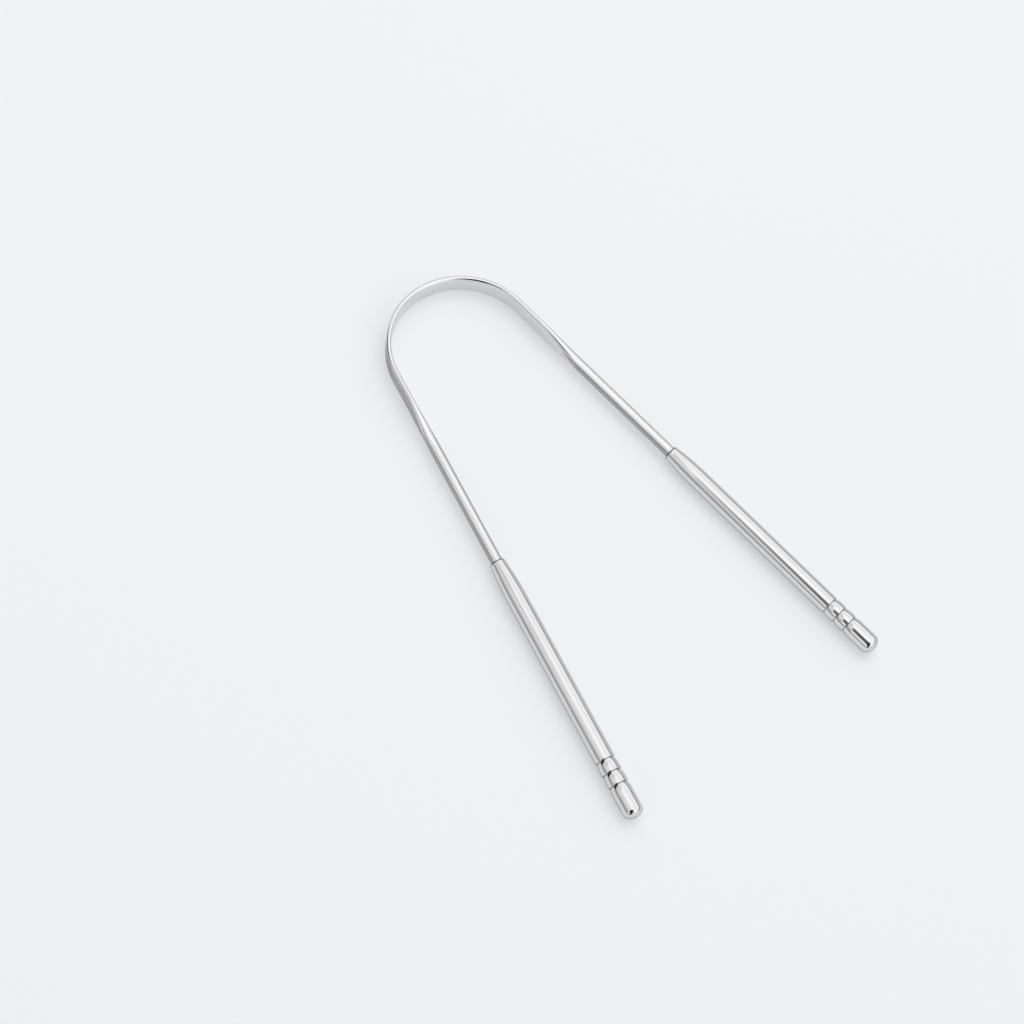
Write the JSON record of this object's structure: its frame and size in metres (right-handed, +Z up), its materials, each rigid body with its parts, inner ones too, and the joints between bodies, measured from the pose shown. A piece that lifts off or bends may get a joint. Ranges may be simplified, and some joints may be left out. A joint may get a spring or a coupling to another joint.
{
  "type": "tongue scraper",
  "caption": "U-shaped stainless steel tongue scraper: a wire bow flattened into an upright blade round the crown, with slim tube handles with beaded tails on both legs.",
  "frame": {"origin": "under the middle of the part as it lies flat, at the height of the blade's lower edge", "axes": "+Z up, square to the plane of the bow; +Y along the middle line from the tails to the crown; +X towards the right handle"},
  "size_m": [0.0782, 0.14, 0.0057],
  "materials": {
    "bow_steel": "polished edges and wire, satin blade faces",
    "handle_steel": "bright polished"
  },
  "bodies": {
    "root": {"scraper_bow": "bow_steel", "left_handle_tube": "handle_steel", "right_handle_tube": "handle_steel", "left_tail_plug": "handle_steel", "right_tail_plug": "handle_steel"}
  },
  "joints": []
}
